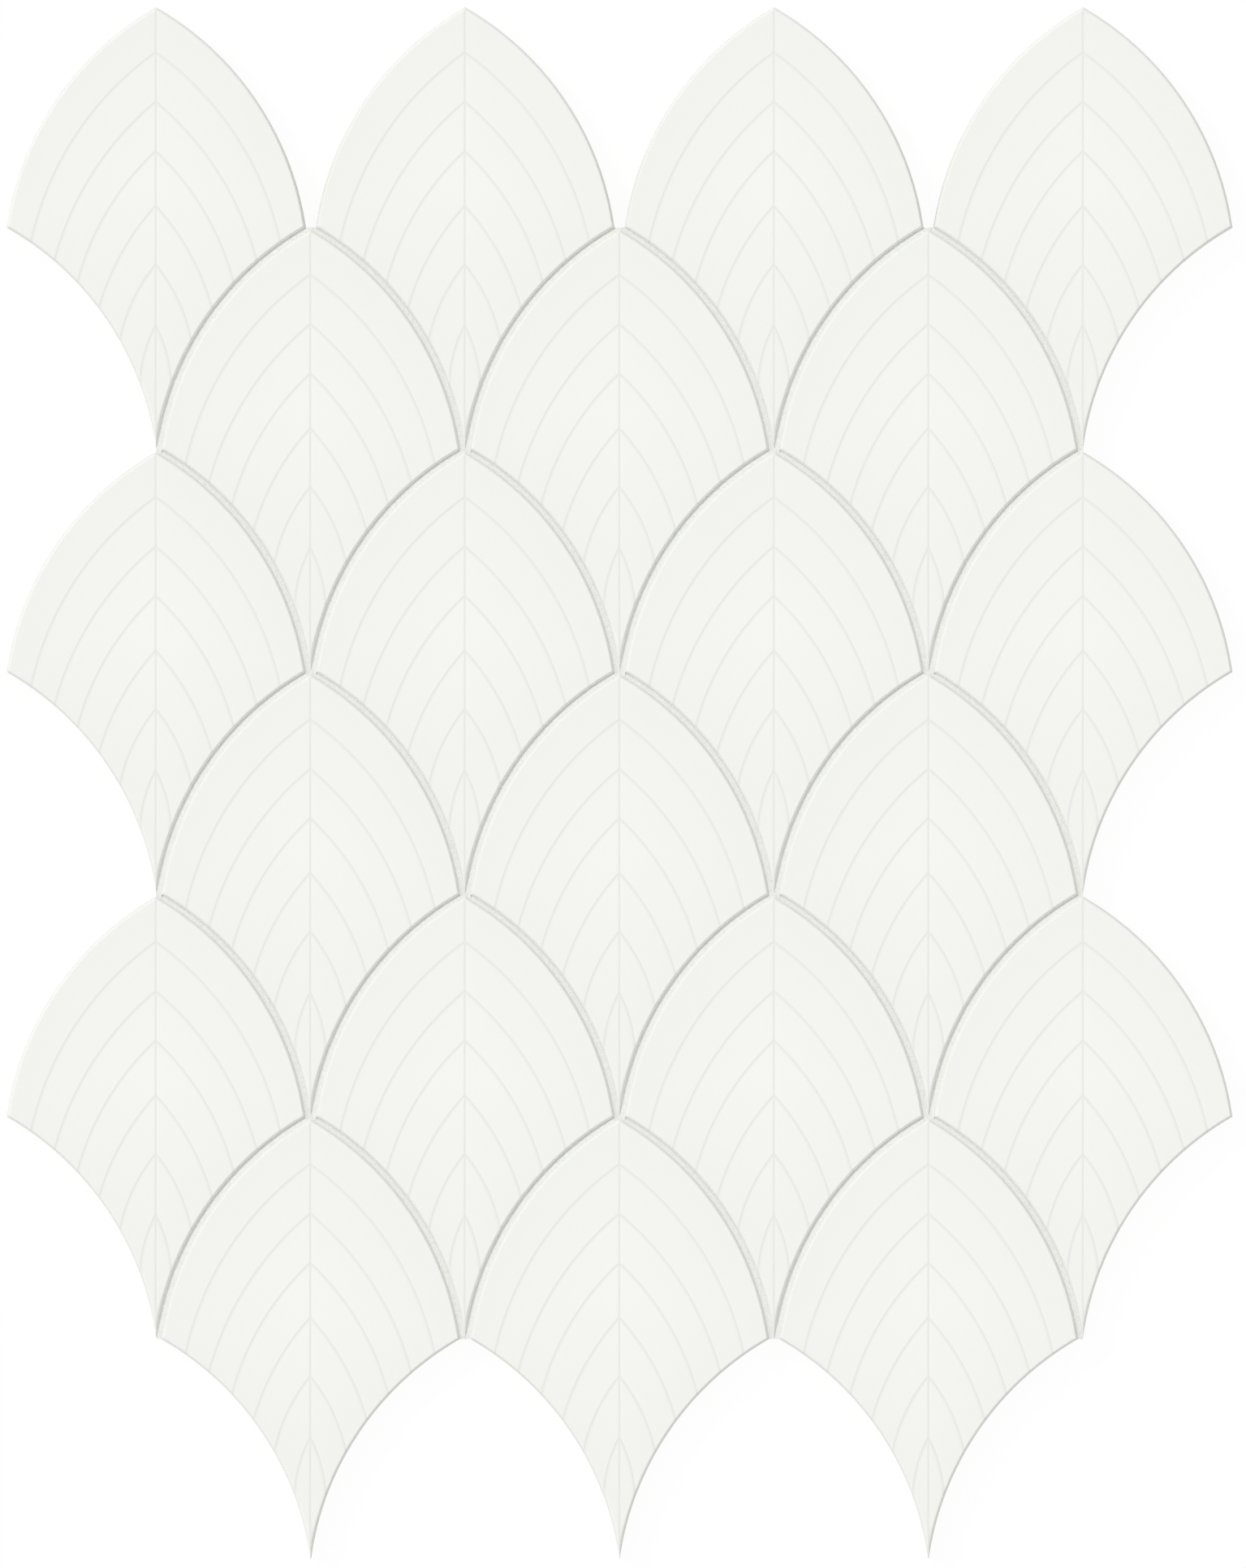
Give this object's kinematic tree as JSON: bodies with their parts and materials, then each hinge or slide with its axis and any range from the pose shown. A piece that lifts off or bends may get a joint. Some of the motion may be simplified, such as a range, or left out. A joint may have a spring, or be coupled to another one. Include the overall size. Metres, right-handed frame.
{
  "type": "fish scale mosaic tile sheet",
  "caption": "Flat sheet of interlocking glazed fish scale tiles with a leaf-vein relief, grouted joints and a backing mesh, for walls and floors.",
  "frame": {"origin": "middle of the sheet's outline, on the surface that its back lies on", "axes": "+Z out of the glazed face, +Y towards the tile tips, +X to the right seen from the face"},
  "size_m": [0.2532, 0.3208, 0.0069],
  "materials": {
    "glazed_tile": "satin off-white glaze on a fired body",
    "grout": "pale fine-sanded cement",
    "glass_fibre_mesh": "open glass-fibre weave, glued"
  },
  "bodies": {
    "root": {"tile_row1_no1": "glazed_tile", "tile_row1_no2": "glazed_tile", "tile_row1_no3": "glazed_tile", "tile_row1_no4": "glazed_tile", "tile_row2_no1": "glazed_tile", "tile_row2_no2": "glazed_tile", "tile_row2_no3": "glazed_tile", "tile_row3_no1": "glazed_tile", "tile_row3_no2": "glazed_tile", "tile_row3_no3": "glazed_tile", "tile_row3_no4": "glazed_tile", "tile_row4_no1": "glazed_tile", "tile_row4_no2": "glazed_tile", "tile_row4_no3": "glazed_tile", "tile_row5_no1": "glazed_tile", "tile_row5_no2": "glazed_tile", "tile_row5_no3": "glazed_tile", "tile_row5_no4": "glazed_tile", "tile_row6_no1": "glazed_tile", "tile_row6_no2": "glazed_tile", "tile_row6_no3": "glazed_tile", "joint_grout": "grout", "backing_mesh": "glass_fibre_mesh"}
  },
  "joints": []
}
